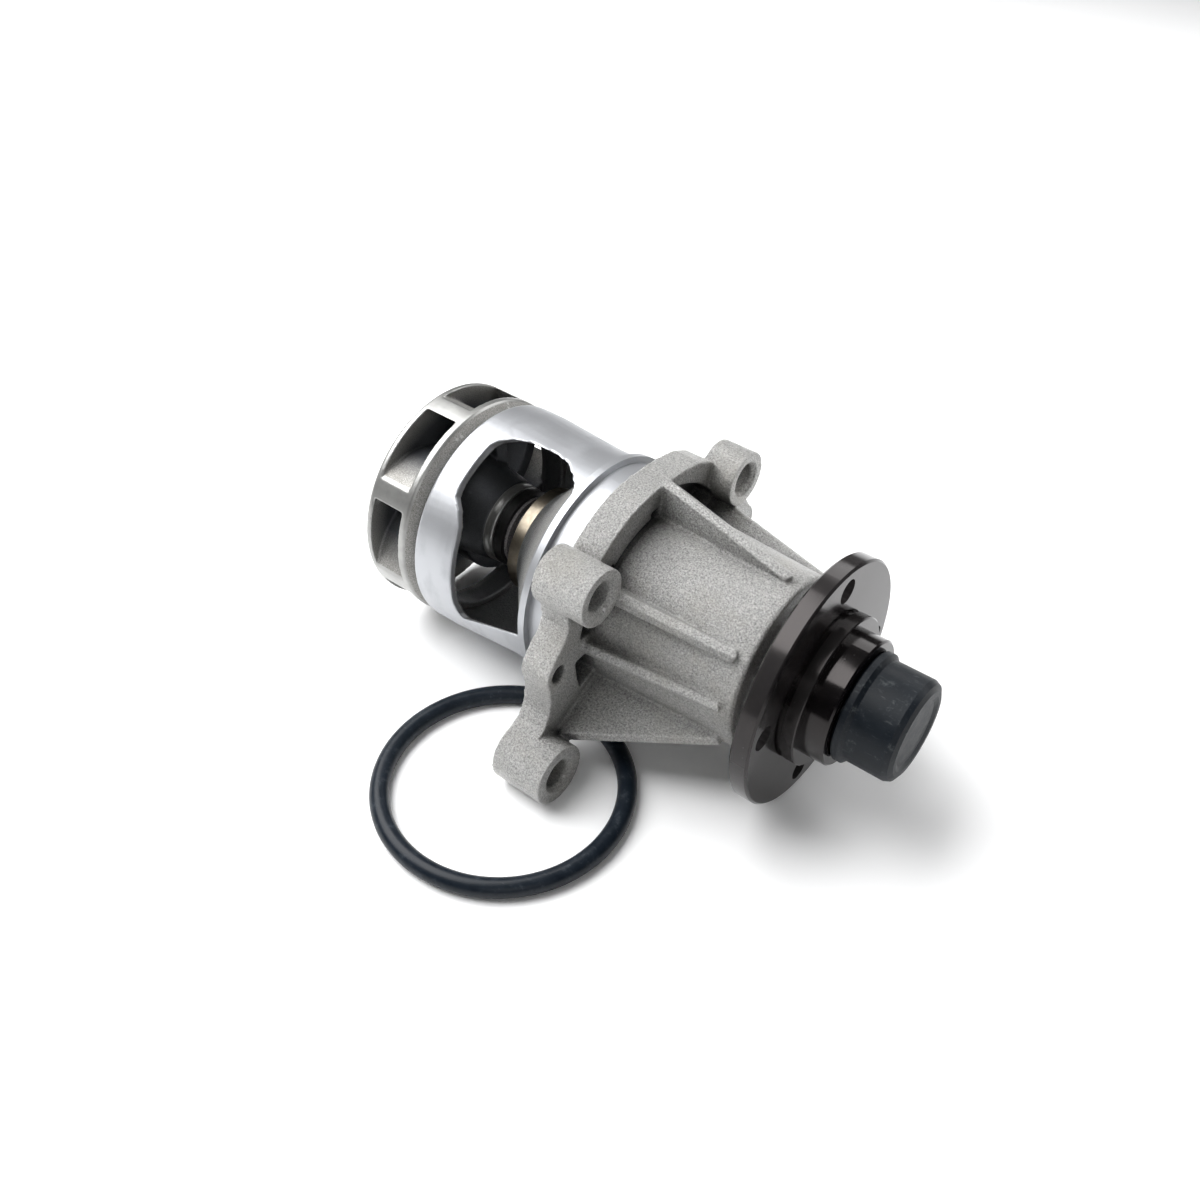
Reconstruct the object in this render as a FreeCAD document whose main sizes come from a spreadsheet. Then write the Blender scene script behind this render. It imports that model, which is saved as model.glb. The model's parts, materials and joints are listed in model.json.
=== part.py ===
"""Engine water pump: cast housing with a windowed inlet cage, sealed bearing, rotor and loose seal ring.

Millimetres.  The shaft lies along X, with +X towards the drive flange and +Z up.
The origin is on the shaft axis, in the face that bolts to the engine block.
Angles are measured about the shaft, from +Y towards +Z.
"""
import FreeCAD, Part
import math
import os

import Sketcher

Vector = FreeCAD.Vector
Rotation = FreeCAD.Rotation
Placement = FreeCAD.Placement
TO_Z = Vector(0, 0, 1)
ALONG_X = Vector(1, 0, 0)

# ---------------------------------------------------------------- driving dimensions

DIMENSIONS = {
    # inlet cage: a tube with two side windows
    "cage_rear": -49.1,
    "cage_lip": 0.6,
    "cage_radius": 34.0,
    "cage_waist_radius": 32.6,
    "cage_bore": 31.2,
    "cage_straight": 8.4,
    "cage_front": -11.5,
    "window_angle": 142,
    "window_rear": -41.0,
    "window_step": -35.5,
    "window_top": 25.2,
    "window_bottom": 28.0,
    # collar, seal-ring land and bulkhead
    "collar_rear": -10.6,
    "collar_front": -8.3,
    "collar_radius": 34.15,
    "land_radius": 32.2,
    "face_relief_radius": 34.8,
    "face_relief_depth": 0.4,
    "boss_rear": -26.3,
    "boss_radius": 16.8,
    "seal_bore": 14.0,
    "seal_bore_floor": -10.0,
    "shaft_passage": 9.0,
    "chamber_rear": -3.0,
    "chamber_radius": 13.4,
    # flange plate, ears and jacking lobes
    "plate_depth": 9.0,
    "plate_core": 33.2,
    "rim_radius": 36.5,
    "web_reach": 38.6,
    "ear_depth": 16.0,
    "upper_ear_y": 32.0,
    "upper_ear_z": 24.6,
    "upper_ear_radius": 8.0,
    "lower_ear_y": 48.6,
    "lower_ear_z": -26.2,
    "lower_ear_radius": 8.8,
    "raised_ear_rear": 5.5,
    "ear_hole": 4.1,
    "ear_chamfer": 1.3,
    "left_jack_y": -39.8,
    "left_jack_z": 0,
    "left_lobe": 4.9,
    "right_jack_y": 45.2,
    "right_jack_z": -2.5,
    "right_lobe": 6.2,
    "jack_hole": 2.5,
    "jack_chamfer": 0.6,
    "pocket_floor": 3.0,
    "drain_radius": 2.5,
    "drain_x": 5.0,
    # snout
    "snout_front": 51.8,
    "snout_root": 27.0,
    "snout_tip": 25.0,
    "rib_width": 3.8,
    "rib_taper": -30,
    "rib_start": 2.0,
    "rib_end": 48.8,
    # bearing
    "race_rear": 13.8,
    "race_front": 52.8,
    "race_radius": 15.0,
    "race_bore": 12.0,
    "ball_radius": 2.55,
    "ball_pitch_radius": 10.0,
    "groove_radius": 2.75,
    "rear_row": 23.0,
    "front_row": 43.5,
    "ball_cage_inner": 9.2,
    "ball_cage_outer": 10.8,
    "ball_cage_width": 7.0,
    "ball_pocket": 2.7,
    "shield_depth": 1.6,
    "shield_inset": 0.5,
    "shield_gap": 0.15,
    # shaft
    "shaft_rear": -64.0,
    "shaft_front": 78.0,
    "shaft_radius": 8.0,
    "shaft_neck": 6.5,
    "shaft_step": 10.0,
    # drive flange and its nose
    "hub_rear": 54.4,
    "hub_radius": 13.5,
    "disc_rear": 57.6,
    "disc_front": 63.0,
    "disc_radius": 35.0,
    "disc_chamfer": 0.6,
    "pilot_rear": 63.9,
    "pilot_front": 67.4,
    "pilot_radius": 21.1,
    "pilot_relief": 20.3,
    "nose_front": 73.8,
    "nose_radius": 17.7,
    "thread_front": 86.5,
    "thread_radius": 11.0,
    "drive_hole": 3.4,
    "drive_hole_circle": 29.0,
    "drive_hole_angle": 81.5,
    # protective cap
    "cap_rear": 74.1,
    "cap_front": 90.0,
    "cap_lip_front": 76.9,
    "cap_lip_radius": 15.3,
    "cap_radius": 14.1,
    "cap_round": 2.2,
    "cap_dish_radius": 10.6,
    "cap_dish": 0.6,
    "cap_bore": 11.1,
    "cap_bore_front": 87.2,
    # impeller
    "impeller_rear": -69.0,
    "impeller_radius": 33.8,
    "back_plate_front": -66.3,
    "shroud_rear": -55.5,
    "shroud_front": -53.3,
    "shroud_eye_front": -50.9,
    "eye_radius": 28.0,
    "eye_lip_radius": 30.4,
    "eye_lip_front": -46.6,
    "hub_cone_rear_radius": 16.5,
    "hub_cone_mid": -53.0,
    "hub_cone_mid_radius": 14.2,
    "hub_band_rear": -42.5,
    "hub_band_radius": 12.2,
    "hub_front": -39.6,
    "vane_thickness": 3.4,
    "vane_root_radius": 15.0,
    "vane_sweep": 52,
    "vane_tip_angle": 150,
    # mechanical seal
    "cup_rear": -39.5,
    "cup_front": -36.0,
    "cup_radius": 12.0,
    "cup_wall": 1.3,
    "seat_front": -35.0,
    "carbon_rear": -34.9,
    "carbon_step": -31.0,
    "carbon_front": -28.4,
    "carbon_nose_radius": 9.9,
    "carbon_radius": 12.0,
    "carbon_bore": 7.4,
    "band_wall": 0.7,
    "case_rear": -30.0,
    "case_lip_front": -26.5,
    "case_lip_radius": 16.0,
    "case_front": -12.0,
    "case_wall": 0.9,
    "bellows_wall": 0.9,
    "bellows_radius": 10.0,
    "bellows_fold": 1.4,
    "spring_wire": 0.6,
    "spring_radius": 11.9,
    "spring_pitch": 3.4,
    "spring_length": 11.9,
    # drip slinger in the drain chamber
    "slinger_rear": 1.5,
    "slinger_front": 5.5,
    "slinger_radius": 10.6,
    # loose seal ring on the bench beside the pump
    "floor": -35.0,
    "ring_section": 2.67,
    "ring_radius": 33.1,
    "ring_x": 3.1,
    "ring_y": -56.3,
}

doc = FreeCAD.newDocument("water_pump")
sheet = doc.addObject("Spreadsheet::Sheet", "dims")
for row, (alias, size) in enumerate(DIMENSIONS.items(), start=1):
    sheet.set("A%d" % row, alias)
    sheet.set("B%d" % row, str(size))
    sheet.setAlias("B%d" % row, alias)
doc.recompute()


def sized(text):
    """The value of an expression over the sheet, written with bare aliases between braces."""
    answer = sheet.evalExpression(bound(text))
    return float(getattr(answer, "Value", answer))


def bound(text):
    """'{cage_radius} - 1' becomes an expression that reads the sheet."""
    return str(text).replace("{", "dims.").replace("}", "")


# ---------------------------------------------------------------- sketch and feature helpers

def new_body(label):
    body = doc.addObject("PartDesign::Body", label)
    body.Label = label
    return body


def plane(body, role):
    return next(f for f in body.Origin.OriginFeatures if f.Role == role)


def new_sketch(body, role, lift=None, turn=None):
    """A sketch on one of the body's planes, lifted along its normal and turned about X."""
    sketch = body.newObject("Sketcher::SketchObject", body.Label + "_sketch")
    sketch.AttachmentSupport = [(plane(body, role), "")]
    sketch.MapMode = "FlatFace"
    if turn is not None:
        sketch.AttachmentOffset = Placement(Vector(), Rotation(ALONG_X, sized(turn)))
        sketch.setExpression("AttachmentOffset.Rotation.Angle", bound(turn))
    if lift is not None:
        sketch.setExpression("AttachmentOffset.Base.z", bound(lift))
    return sketch


def pin(sketch, geometry, point, x_text, y_text):
    """Bind one point of the sketch to two expressions."""
    for kind, text in (("DistanceX", x_text), ("DistanceY", y_text)):
        number = sketch.addConstraint(Sketcher.Constraint(kind, -1, 1, geometry, point, sized(text)))
        sketch.setExpression("Constraints[%d]" % number, bound(text))


def outline(sketch, corners):
    """A closed outline.  A corner is (x, y), or (x, y, radius) where an arc about the origin starts."""
    spots = [Vector(sized(c[0]), sized(c[1]), 0) for c in corners]
    edges = []
    for place, corner in enumerate(corners):
        start = spots[place]
        end = spots[(place + 1) % len(corners)]
        if len(corner) == 2:
            edges.append(sketch.addGeometry(Part.LineSegment(start, end), False))
            continue
        circle = Part.Circle(Vector(), TO_Z, sized(corner[2]))
        first = math.atan2(start.y, start.x)
        last = math.atan2(end.y, end.x)
        anticlockwise = (last - first) % (2 * math.pi) < math.pi
        if not anticlockwise:
            first, last = last, first
        edges.append(sketch.addGeometry(Part.ArcOfCircle(circle, first, last), False))
    ends = []
    for place, corner in enumerate(corners):
        start = spots[place]
        edge = sketch.Geometry[edges[place]]
        forward = (edge.StartPoint - start).Length < 1e-6
        ends.append((1, 2) if forward else (2, 1))
    for place in range(len(corners)):
        after = (place + 1) % len(corners)
        sketch.addConstraint(
            Sketcher.Constraint("Coincident", edges[place], ends[place][1], edges[after], ends[after][0]))
    for place, corner in enumerate(corners):
        pin(sketch, edges[place], ends[place][0], corner[0], corner[1])
        if len(corner) == 3:
            number = sketch.addConstraint(Sketcher.Constraint("Radius", edges[place], sized(corner[2])))
            sketch.setExpression("Constraints[%d]" % number, bound(corner[2]))
    return sketch


def circles(sketch, rounds):
    """Circles, each (x, y, radius)."""
    for x_text, y_text, radius in rounds:
        centre = Vector(sized(x_text), sized(y_text), 0)
        edge = sketch.addGeometry(Part.Circle(centre, TO_Z, sized(radius)), False)
        pin(sketch, edge, 3, x_text, y_text)
        number = sketch.addConstraint(Sketcher.Constraint("Radius", edge, sized(radius)))
        sketch.setExpression("Constraints[%d]" % number, bound(radius))
    return sketch


def feature(body, kind, sketch):
    made = body.newObject("PartDesign::" + kind, body.Label + "_" + kind.lower())
    made.Profile = sketch
    made.Refine = False
    return made


def spin(body, corners, kind="Revolution"):
    """Turn a closed (x, radius) outline about the shaft axis."""
    sketch = outline(new_sketch(body, "XZ_Plane"), corners)
    made = feature(body, kind, sketch)
    made.ReferenceAxis = (sketch, ["H_Axis"])
    made.Angle = 360
    doc.recompute()
    return made


def extrude(body, sketch, length, kind="Pad", reversed_way=False, symmetric=False):
    """Pad or pocket a sketch; the volume has to change, or the direction is wrong."""
    before = body.Shape.Volume
    made = feature(body, kind, sketch)
    made.setExpression("Length", bound(length))
    made.Reversed = reversed_way
    if symmetric:
        made.Midplane = True
    doc.recompute()
    change = made.Shape.Volume - before
    if abs(change) < 0.5 or (change > 0) != (kind == "Pad"):
        raise RuntimeError("%s changes the volume by %.3f" % (made.Name, change))
    return made


def turned(label, corners):
    """A sub-part that is one turned outline."""
    body = new_body(label)
    spin(body, corners)
    return body


def polar(radius, angle):
    """Corner texts for a point at this radius and angle about the shaft."""
    return "(%s) * cos(%s)" % (radius, angle), "(%s) * sin(%s)" % (radius, angle)


# ---------------------------------------------------------------- housing

RIBS = [
    # angle, crest radius at the plate, crest radius at the front end, width factor
    (84, 37.2, 27.2, 1.0),
    (142, 33.2, 27.0, 1.0),
    (175, 31.4, 26.8, 1.0),
    (28, 35.0, 27.2, 1.0),
    (2, 33.0, 26.8, 1.0),
    (-90, 32.2, 26.8, 1.0),
    (-152, 47.4, 27.0, 1.1),
    (-28, 47.4, 27.0, 1.1),
]
POCKETS = [
    # start angle, end angle, outer radius
    (89, 137, 28.1),
    (89, 95, 30.0),
    (129, 137, 29.8),
    (149, 169, 31.9),
    (181, 200, 33.2),
    (35, 79, 33.2),
    (8, 22, 32.6),
    (-20, -4, 33.2),
    (-128, -96, 30.2),
    (-84, -52, 30.2),
]
SIDES = (-1, 1)


def cage_tube(body):
    spin(body, [
        ("{cage_rear}", "{cage_radius} - {cage_lip}"),
        ("{cage_rear} + {cage_lip}", "{cage_radius}"),
        ("{cage_rear} + {cage_straight}", "{cage_radius}"),
        ("{cage_front} - 8", "{cage_waist_radius}"),
        ("{cage_front} + 0.5", "{cage_waist_radius}"),
        ("{cage_front} + 0.5", "{cage_bore}"),
        ("{cage_rear}", "{cage_bore}"),
    ])


def cage_windows(body):
    """Two opposite windows, wider at the front; the rear edge steps forward over the lower half."""
    for turn in ("{window_angle} - 90", "{window_angle} + 90"):
        sketch = new_sketch(body, "XY_Plane", turn=turn)
        outline(sketch, [
            ("{window_rear} + 0.1", "{window_top} - 5.2"),
            ("{window_rear} + 0.9", "{window_top} - 3.4"),
            ("{window_rear} + 4.0", "{window_top} - 1.2"),
            ("{window_rear} + 8.0", "{window_top} - 0.2"),
            ("{window_rear} + 12.1", "{window_top}"),
            ("{cage_front} - 12.0", "{window_top} - 0.1"),
            ("{cage_front} - 7.8", "{window_top} - 1.0"),
            ("{cage_front} - 3.8", "{window_top} - 3.2"),
            ("{cage_front} - 1.3", "{window_top} - 5.1"),
            ("{cage_front} + 0.2", "{window_top} - 8.0"),
            ("{cage_front} + 0.2", "5.1 - {window_bottom}"),
            ("{window_step} + 4.5", "0.6 - {window_bottom}"),
            ("{window_step} + 2.2", "-{window_bottom}"),
            ("{window_step} + 1.1", "1.0 - {window_bottom}"),
            ("{window_step} + 0.2", "4.0 - {window_bottom}"),
            ("{window_step}", "-6.0"),
            ("{window_step} - 0.6", "-2.6"),
            ("{window_step} - 2.5", "1.2"),
            ("{window_step} - 5.0", "4.2"),
            ("{window_rear}", "7.7"),
        ])
        extrude(body, sketch, "{cage_radius} + 2", "Pocket", reversed_way=True)


def housing_core(body):
    """Bulkhead cone, collar, ring land, plate disc and snout, with every bore along the shaft."""
    spin(body, [
        ("{boss_rear}", "{boss_radius} - 0.4"),
        ("{boss_rear} + 0.4", "{boss_radius}"),
        ("{boss_rear} + 2.2", "{boss_radius} + 1.4"),
        ("{cage_front} - 1", "{cage_bore}"),
        ("{cage_front}", "{cage_waist_radius}"),
        ("{collar_rear}", "{cage_waist_radius}"),
        ("{collar_rear}", "{collar_radius} - 0.3"),
        ("{collar_rear} + 0.3", "{collar_radius}"),
        ("{collar_front}", "{collar_radius}"),
        ("{collar_front}", "{land_radius}"),
        ("0", "{land_radius}"),
        ("0", "{plate_core}"),
        ("{plate_depth}", "{plate_core}"),
        ("{plate_depth}", "{snout_root}"),
        ("{snout_front} - 0.8", "{snout_tip}"),
        ("{snout_front}", "{snout_tip} - 0.8"),
        ("{snout_front}", "{race_radius}"),
        ("{race_rear}", "{race_radius}"),
        ("{race_rear}", "{chamber_radius}"),
        ("{chamber_rear}", "{chamber_radius}"),
        ("{chamber_rear}", "{shaft_passage}"),
        ("{seal_bore_floor}", "{shaft_passage}"),
        ("{seal_bore_floor}", "{seal_bore}"),
        ("{boss_rear}", "{seal_bore}"),
    ])


def plate_rim(body):
    """The upper edge of the plate: a plain rim on the left, wider where it runs into the right ear."""
    sketch = new_sketch(body, "YZ_Plane")
    outline(sketch, [
        polar("{rim_radius}", 165) + ("{rim_radius}",),
        polar("{rim_radius}", 84),
        polar("{web_reach} - 1.0", 73),
        polar("{web_reach} + 0.6", 61),
        polar("{web_reach} + 1.4", 52),
        ("{upper_ear_y}", "{upper_ear_z}"),
        ("{upper_ear_y}", "0"),
        ("-{upper_ear_y}", "0"),
    ])
    extrude(body, sketch, "{plate_depth}")


WEBS = [
    # flat webs that tie the ears and the jacking lobes to the plate, as (y, z) corners
    [(-37.0, 19.0), (-36.3, 13.3), (-37.8, 9.6), (-41.0, 6.6), (-44.0, 2.8), (-43.6, -7.5),
     (-44.2, -12.0), (-46.4, -15.8), (-54.2, -19.4), (-44.2, -33.6), (-40.6, -29.4),
     (-25.0, -19.5), (-25.0, 10.0)],
    [(39.0, 21.0), (41.4, 12.0), (46.4, 6.4), (51.0, -0.6), (50.0, -10.0),
     (51.6, -16.8), (54.2, -19.4), (44.2, -33.6), (40.6, -29.4), (25.0, -19.5), (25.0, 10.0)],
]


def ears(body):
    """The webs, two jacking lobes and four ears; the upper right ear starts in front of the rear face."""
    for web in WEBS:
        corners = [(str(y), str(z)) for y, z in web]
        extrude(body, outline(new_sketch(body, "YZ_Plane"), corners), "{plate_depth}")
    for name in ("left", "right"):
        spot = ("{%s_jack_y}" % name, "{%s_jack_z}" % name, "{%s_lobe}" % name)
        extrude(body, circles(new_sketch(body, "YZ_Plane"), [spot]), "{plate_depth}")
    for side in SIDES:
        for height in ("upper", "lower"):
            spot = ("%d * {%s_ear_y}" % (side, height), "{%s_ear_z}" % height, "{%s_ear_radius}" % height)
            rear = "{raised_ear_rear}" if (side, height) == (1, "upper") else "0"
            sketch = new_sketch(body, "YZ_Plane", lift=rear)
            extrude(body, circles(sketch, [spot]), "{ear_depth} - %s" % rear)


def plate_bore(body):
    """Opens the drain chamber through the plate, and relieves the rear face round the land."""
    spin(body, [
        ("-1", "0"),
        ("-1", "{chamber_radius}"),
        ("{plate_depth} + 1", "{chamber_radius}"),
        ("{plate_depth} + 1", "0"),
    ], "Groove")
    spin(body, [
        ("-1", "{land_radius}"),
        ("-1", "{face_relief_radius}"),
        ("{face_relief_depth}", "{face_relief_radius}"),
        ("{face_relief_depth}", "{land_radius}"),
    ], "Groove")


def plate_pockets(body):
    """Cored pockets round the foot of the snout, open to the front."""
    for start, end, radius in POCKETS:
        sketch = new_sketch(body, "YZ_Plane", lift="{pocket_floor}")
        outline(sketch, [
            polar(radius, start) + (str(radius),),
            polar(radius, end),
            polar("{snout_root} - 0.3", end) + ("{snout_root} - 0.3",),
            polar("{snout_root} - 0.3", start),
        ])
        extrude(body, sketch, "{plate_depth} - {pocket_floor} + 0.5", "Pocket", reversed_way=True)


def snout_ribs(body):
    """Ribs that run down the snout; their flanks lean in towards the crest."""
    for angle, root, tip, factor in RIBS:
        sketch = new_sketch(body, "XZ_Plane", turn="%s - 90" % angle)
        outline(sketch, [
            ("{rib_start}", "{snout_root} - 3"),
            ("{rib_start}", "min({rim_radius} - 0.4; %s)" % root),
            ("{plate_depth} + 1", str(root)),
            ("{rib_end}", str(tip)),
            ("{rib_end}", "{snout_tip} - 3"),
        ])
        rib = extrude(body, sketch, "{rib_width} * %s" % factor, symmetric=True)
        rib.setExpression("TaperAngle", bound("{rib_taper}"))
        doc.recompute()


def housing_holes(body):
    """Ear, jacking and drain holes; the front edges of the ear and jacking holes are chamfered."""
    spots = []
    for side in SIDES:
        for height in ("upper", "lower"):
            spots.append(("%d * {%s_ear_y}" % (side, height), "{%s_ear_z}" % height,
                          "{ear_hole}", "{ear_chamfer}", "{ear_depth}"))
    for name in ("left", "right"):
        spots.append(("{%s_jack_y}" % name, "{%s_jack_z}" % name,
                      "{jack_hole}", "{jack_chamfer}", "{plate_depth}"))
    for y_text, z_text, radius, chamfer, depth in spots:
        sketch = circles(new_sketch(body, "YZ_Plane"), [(y_text, z_text, radius)])
        extrude(body, sketch, depth, "Pocket", reversed_way=True)
        cone = body.newObject("PartDesign::SubtractiveCone", "countersink")
        cone.setExpression("Radius1", bound(radius))
        cone.setExpression("Radius2", bound("%s + %s" % (radius, chamfer)))
        cone.setExpression("Height", bound(chamfer))
        cone.AttachmentSupport = [(plane(body, "YZ_Plane"), "")]
        cone.MapMode = "FlatFace"
        cone.setExpression("AttachmentOffset.Base.x", bound(y_text))
        cone.setExpression("AttachmentOffset.Base.y", bound(z_text))
        cone.setExpression("AttachmentOffset.Base.z", bound("%s - %s" % (depth, chamfer)))
        doc.recompute()
    drain = circles(new_sketch(body, "XY_Plane"), [("{drain_x}", "0", "{drain_radius}")])
    extrude(body, drain, "{rim_radius}", "Pocket").Refine = True
    doc.recompute()


def housing():
    body = new_body("housing")
    cage_tube(body)
    cage_windows(body)
    housing_core(body)
    plate_rim(body)
    ears(body)
    plate_bore(body)
    plate_pockets(body)
    snout_ribs(body)
    housing_holes(body)
    return body


# ---------------------------------------------------------------- bearing

def groove_cut(body, row):
    """A ball groove round the shaft or inside the race."""
    torus = body.newObject("PartDesign::SubtractiveTorus", "ball_groove")
    torus.setExpression("Radius1", bound("{ball_pitch_radius}"))
    torus.setExpression("Radius2", bound("{groove_radius}"))
    torus.AttachmentSupport = [(plane(body, "YZ_Plane"), "")]
    torus.MapMode = "FlatFace"
    torus.setExpression("AttachmentOffset.Base.z", bound(row))
    doc.recompute()


ROWS = ("rear", "front")
BALLS_PER_ROW = 8


def bearing_outer_race():
    body = turned("bearing_outer_race", [
        ("{race_rear}", "{race_radius} - 0.5"),
        ("{race_rear} + 0.5", "{race_radius}"),
        ("{race_front} - 0.5", "{race_radius}"),
        ("{race_front}", "{race_radius} - 0.5"),
        ("{race_front}", "{race_bore}"),
        ("{race_rear}", "{race_bore}"),
    ])
    for row in ROWS:
        groove_cut(body, "{%s_row}" % row)
    return body


def pump_shaft():
    body = turned("pump_shaft", [
        ("{shaft_rear}", "0"),
        ("{shaft_rear}", "{shaft_neck} - 0.6"),
        ("{shaft_rear} + 0.6", "{shaft_neck}"),
        ("{shaft_step}", "{shaft_neck}"),
        ("{shaft_step} + 0.5", "{shaft_radius}"),
        ("{shaft_front} - 0.6", "{shaft_radius}"),
        ("{shaft_front}", "{shaft_radius} - 0.6"),
        ("{shaft_front}", "0"),
    ])
    for row in ROWS:
        groove_cut(body, "{%s_row}" % row)
    return body


def ball_row(row):
    """Eight steel balls, evenly spaced on the pitch circle."""
    balls = []
    for place in range(BALLS_PER_ROW):
        ball = doc.addObject("Part::Sphere", "%s_ball" % row)
        turn = "%s * %d / %d" % (360, place, BALLS_PER_ROW)
        y_text, z_text = polar("{ball_pitch_radius}", turn)
        ball.setExpression("Radius", bound("{ball_radius}"))
        ball.setExpression("Placement.Base.x", bound("{%s_row}" % row))
        ball.setExpression("Placement.Base.y", bound(y_text))
        ball.setExpression("Placement.Base.z", bound(z_text))
        balls.append(ball)
    group = doc.addObject("Part::Compound", "%s_bearing_balls" % row)
    group.Label = "%s_bearing_balls" % row
    group.Links = balls
    doc.recompute()
    return group


def ball_cage(row):
    """A ring with one round pocket for each ball."""
    middle = "{%s_row}" % row
    body = turned("%s_ball_cage" % row, [
        (middle + " - {ball_cage_width} / 2", "{ball_cage_inner}"),
        (middle + " - {ball_cage_width} / 2", "{ball_cage_outer}"),
        (middle + " + {ball_cage_width} / 2", "{ball_cage_outer}"),
        (middle + " + {ball_cage_width} / 2", "{ball_cage_inner}"),
    ])
    sketch = circles(new_sketch(body, "XY_Plane"), [(middle, "0", "{ball_pocket}")])
    hole = extrude(body, sketch, "{race_radius}", "Pocket", reversed_way=True)
    pattern = body.newObject("PartDesign::PolarPattern", "pockets")
    pattern.Originals = [hole]
    pattern.Axis = (plane(body, "X_Axis"), [""])
    pattern.Angle = 360
    pattern.Occurrences = BALLS_PER_ROW
    body.Tip = pattern
    doc.recompute()
    body.Placement = Placement(Vector(), Rotation(ALONG_X, -90))
    return body


def bearing_shield(row):
    """The lip seal pressed into one end of the race."""
    inner = "{race_rear} + {shield_inset}"
    outer = "{race_rear} + {shield_inset} + {shield_depth}"
    if row == "front":
        inner = "{race_front} - {shield_inset} - {shield_depth}"
        outer = "{race_front} - {shield_inset}"
    lip = "{shaft_radius} + {shield_gap}"
    return turned("%s_bearing_seal" % row, [
        (inner, lip + " + 1.2"),
        (inner, "{race_bore}"),
        (outer, "{race_bore}"),
        (outer, lip),
        ("(%s + %s) / 2" % (inner, outer), lip),
    ])


# ---------------------------------------------------------------- drive end

def drive_flange():
    """Disc, pilot, nose and fan thread in one piece, pressed onto the shaft."""
    body = turned("drive_flange", [
        ("{hub_rear}", "{shaft_radius}"),
        ("{hub_rear}", "{hub_radius}"),
        ("{disc_rear}", "{hub_radius}"),
        ("{disc_rear}", "{disc_radius} - {disc_chamfer}"),
        ("{disc_rear} + {disc_chamfer}", "{disc_radius}"),
        ("{disc_front} - {disc_chamfer}", "{disc_radius}"),
        ("{disc_front}", "{disc_radius} - {disc_chamfer}"),
        ("{disc_front}", "{pilot_relief}"),
        ("{pilot_rear}", "{pilot_relief}"),
        ("{pilot_rear}", "{pilot_radius}"),
        ("{pilot_front} - 0.3", "{pilot_radius}"),
        ("{pilot_front}", "{pilot_radius} - 0.3"),
        ("{pilot_front}", "{nose_radius}"),
        ("{nose_front} - 0.5", "{nose_radius}"),
        ("{nose_front}", "{nose_radius} - 0.5"),
        ("{nose_front}", "{thread_radius}"),
        ("{thread_front} - 1", "{thread_radius}"),
        ("{thread_front}", "{thread_radius} - 1"),
        ("{thread_front}", "0"),
        ("{shaft_front}", "0"),
        ("{shaft_front}", "{shaft_radius}"),
    ])
    y_text, z_text = polar("{drive_hole_circle}", "{drive_hole_angle}")
    sketch = circles(new_sketch(body, "YZ_Plane"), [(y_text, z_text, "{drive_hole}")])
    hole = extrude(body, sketch, "{disc_front} + 1", "Pocket", reversed_way=True)
    pattern = body.newObject("PartDesign::PolarPattern", "drive_holes")
    pattern.Originals = [hole]
    pattern.Axis = (plane(body, "X_Axis"), [""])
    pattern.Angle = 360
    pattern.Occurrences = 4
    body.Tip = pattern
    doc.recompute()
    return body


def thread_protector_cap():
    return turned("thread_protector_cap", [
        ("{cap_rear}", "{cap_bore}"),
        ("{cap_rear}", "{cap_lip_radius} - 0.6"),
        ("{cap_rear} + 0.6", "{cap_lip_radius}"),
        ("{cap_lip_front} - 0.6", "{cap_lip_radius}"),
        ("{cap_lip_front}", "{cap_radius} + 0.5"),
        ("{cap_lip_front} + 0.5", "{cap_radius}"),
        ("{cap_front} - {cap_round}", "{cap_radius}"),
        ("{cap_front} - {cap_round} * 0.35", "{cap_radius} - {cap_round} * 0.3"),
        ("{cap_front}", "{cap_radius} - {cap_round}"),
        ("{cap_front}", "{cap_dish_radius}"),
        ("{cap_front} - {cap_dish}", "{cap_dish_radius} - 1.5"),
        ("{cap_front} - {cap_dish}", "0"),
        ("{cap_bore_front}", "0"),
        ("{cap_bore_front}", "{cap_bore}"),
    ])


# ---------------------------------------------------------------- impeller

VANE_COUNT = 7


def vane_blank():
    """One backward-swept vane between the back plate and the shroud, as a curved slab."""
    root = sized("{vane_root_radius}")
    tip = sized("{impeller_radius}")
    thick = sized("{vane_thickness}")
    sweep = math.radians(sized("{vane_sweep}"))
    end = math.radians(sized("{vane_tip_angle}"))
    rear = sized("{back_plate_front}") - 1.0
    depth = sized("{shroud_rear}") + 1.0 - rear

    def face(offset):
        """Three points on one face, from the root to past the tip."""
        points = []
        for share in (0.0, 0.5, 1.08):
            radius = root + (tip - root) * share
            angle = end - sweep * (1 - share) + offset / radius
            points.append(Vector(rear, radius * math.cos(angle), radius * math.sin(angle)))
        return points

    outer = face(thick * 0.95)
    inner = face(-thick * 0.95)
    lines = [
        Part.Arc(outer[0], outer[1], outer[2]).toShape(),
        Part.LineSegment(outer[2], inner[2]).toShape(),
        Part.Arc(inner[2], inner[1], inner[0]).toShape(),
        Part.LineSegment(inner[0], outer[0]).toShape(),
    ]
    return Part.Face(Part.Wire(lines)).extrude(Vector(depth, 0, 0))


def turned_shape(corners):
    """A turned solid from (x, radius) expressions, for use inside a boolean."""
    points = [Vector(sized(x), 0, sized(r)) for x, r in corners]
    wire = Part.makePolygon(points + points[:1])
    return Part.Face(wire).revolve(Vector(), ALONG_X, 360)


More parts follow.
